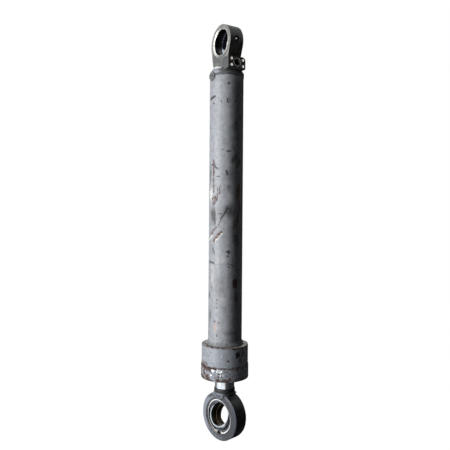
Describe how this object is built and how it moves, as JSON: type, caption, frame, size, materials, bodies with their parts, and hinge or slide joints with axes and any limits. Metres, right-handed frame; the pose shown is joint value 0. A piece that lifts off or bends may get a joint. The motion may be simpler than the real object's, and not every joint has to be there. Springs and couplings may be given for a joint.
{
  "type": "telescopic hydraulic cylinder",
  "caption": "Closed telescopic hydraulic cylinder with a bushed base eye, flange port, screwed gland, chromed stage and rod, and a spherical bearing in the rod eye.",
  "frame": {"origin": "centre of the base eye pin bore", "axes": "+Z along the cylinder from the rod eye to the base eye, +Y along the base eye bore with the machined front face on -Y, +X out of the port pad"},
  "size_m": [0.177, 0.17, 1.4813],
  "materials": {
    "grey_paint": "semi-gloss blue-grey paint, scratched",
    "painted_weld": "painted weld bead",
    "worn_gland_paint": "paint worn through to brown primer, rust and bare steel",
    "oily_forging": "dark forging with machined faces",
    "machined_steel": "machined",
    "bearing_steel": "ground",
    "hard_chrome": "polished hard chrome",
    "bush_steel": "bored",
    "guide_ring_plastic": "filled guide-ring plastic",
    "seal_rubber": "moulded"
  },
  "bodies": {
    "barrel": {"base_eye": "grey_paint", "base_bush_front": "bush_steel", "base_bush_rear": "bush_steel", "base_grease_nipple": "machined_steel", "bleed_boss": "grey_paint", "bleed_screw": "machined_steel", "cap_weld": "painted_weld", "barrel_tube": "grey_paint", "barrel_collar": "grey_paint", "collar_weld": "painted_weld", "gland_nut": "worn_gland_paint", "gland_set_screw": "machined_steel", "gland_guide_ring_upper": "guide_ring_plastic", "gland_guide_ring_lower": "guide_ring_plastic", "gland_seal": "seal_rubber", "gland_wiper": "seal_rubber", "gland_o_ring": "seal_rubber"},
    "stage_slider": {"stage_wear_band": "guide_ring_plastic"},
    "stage": {"stage_tube": "hard_chrome", "stage_stop_ring": "machined_steel", "stage_snap_ring": "machined_steel", "stage_gland": "machined_steel", "stage_guide_ring": "guide_ring_plastic", "stage_seal": "seal_rubber", "stage_wiper": "seal_rubber", "stage_o_ring": "seal_rubber"},
    "rod_slider": {"rod_wear_band": "guide_ring_plastic"},
    "rod": {"rod_tube": "hard_chrome", "rod_stop_ring": "machined_steel", "rod_snap_ring": "machined_steel", "rod_eye_weld": "painted_weld", "rod_eye": "oily_forging", "rod_grease_nipple": "machined_steel", "bearing_outer_ring": "bearing_steel", "circlip_front": "bearing_steel", "circlip_rear": "bearing_steel"},
    "ball": {"bearing_inner_ring": "bearing_steel"}
  },
  "joints": [
    {"name": "stage_extend", "type": "slide", "parent": "barrel", "child": "stage_slider", "axis": [0, 0, -1], "range_m": [0, 0.9]},
    {"name": "stage_turn", "type": "hinge", "parent": "stage_slider", "child": "stage", "pos_m": [0, 0, -0.18], "axis": [0, 0, 1], "continuous": true},
    {"name": "rod_extend", "type": "slide", "parent": "stage", "child": "rod_slider", "axis": [0, 0, -1], "range_m": [0, 0.9]},
    {"name": "rod_turn", "type": "hinge", "parent": "rod_slider", "child": "rod", "pos_m": [0, 0, -0.2], "axis": [0, 0, 1], "continuous": true},
    {"name": "ball_tilt", "type": "hinge", "parent": "rod", "child": "ball", "pos_m": [0, 0, -1.3336], "axis": [0.9744, 0.225, 0], "range_deg": [-6, 42]}
  ]
}
